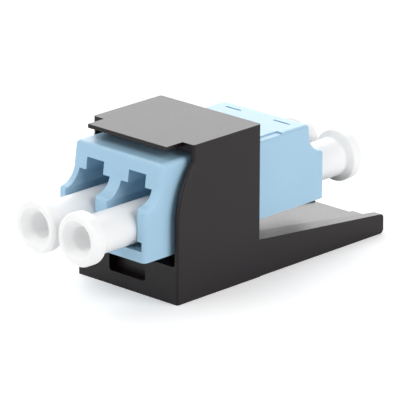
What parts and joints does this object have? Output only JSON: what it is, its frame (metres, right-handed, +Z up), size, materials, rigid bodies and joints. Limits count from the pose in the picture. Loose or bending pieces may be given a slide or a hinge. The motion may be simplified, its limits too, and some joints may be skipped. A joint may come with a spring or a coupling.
{
  "type": "lc fibre adapter",
  "caption": "Duplex LC fibre adapter in a black snap-in module housing with a rear latch tongue; pull-off dust caps close its ports front and back.",
  "frame": {"origin": "on the housing's flat underside, straight below the adapter's optical mid-plane and midway between its two ports", "axes": "+Y from the front ports to the rear ones along the plugs' axes, +Z up from the underside to the roof, +X to the right seen from the front"},
  "size_m": [0.015, 0.0441, 0.0174],
  "materials": {
    "housing_plastic": "satin black ABS",
    "adapter_plastic": "light blue moulded PBT, satin",
    "sleeve_ceramic": null,
    "cap_plastic": "soft white polyethylene, slightly translucent"
  },
  "bodies": {
    "module": {"module_housing": "housing_plastic", "adapter_front_shell": "adapter_plastic", "adapter_rear_shell": "adapter_plastic", "sleeve_holder_front": "adapter_plastic", "sleeve_holder_rear": "adapter_plastic", "split_sleeve_left": "sleeve_ceramic", "split_sleeve_right": "sleeve_ceramic"},
    "cap_front_left": {"dust_cap_front_left": "cap_plastic"},
    "cap_front_right": {"dust_cap_front_right": "cap_plastic"},
    "cap_rear_left": {"dust_cap_rear_left": "cap_plastic"},
    "cap_rear_right": {"dust_cap_rear_right": "cap_plastic"}
  },
  "joints": [
    {"name": "cap_front_left_pull", "type": "slide", "parent": "module", "child": "cap_front_left", "axis": [0, -1, 0], "range_m": [0, 0.014]},
    {"name": "cap_front_right_pull", "type": "slide", "parent": "module", "child": "cap_front_right", "axis": [0, -1, 0], "range_m": [0, 0.014]},
    {"name": "cap_rear_left_pull", "type": "slide", "parent": "module", "child": "cap_rear_left", "axis": [0, 1, 0], "range_m": [0, 0.014]},
    {"name": "cap_rear_right_pull", "type": "slide", "parent": "module", "child": "cap_rear_right", "axis": [0, 1, 0], "range_m": [0, 0.014]}
  ]
}
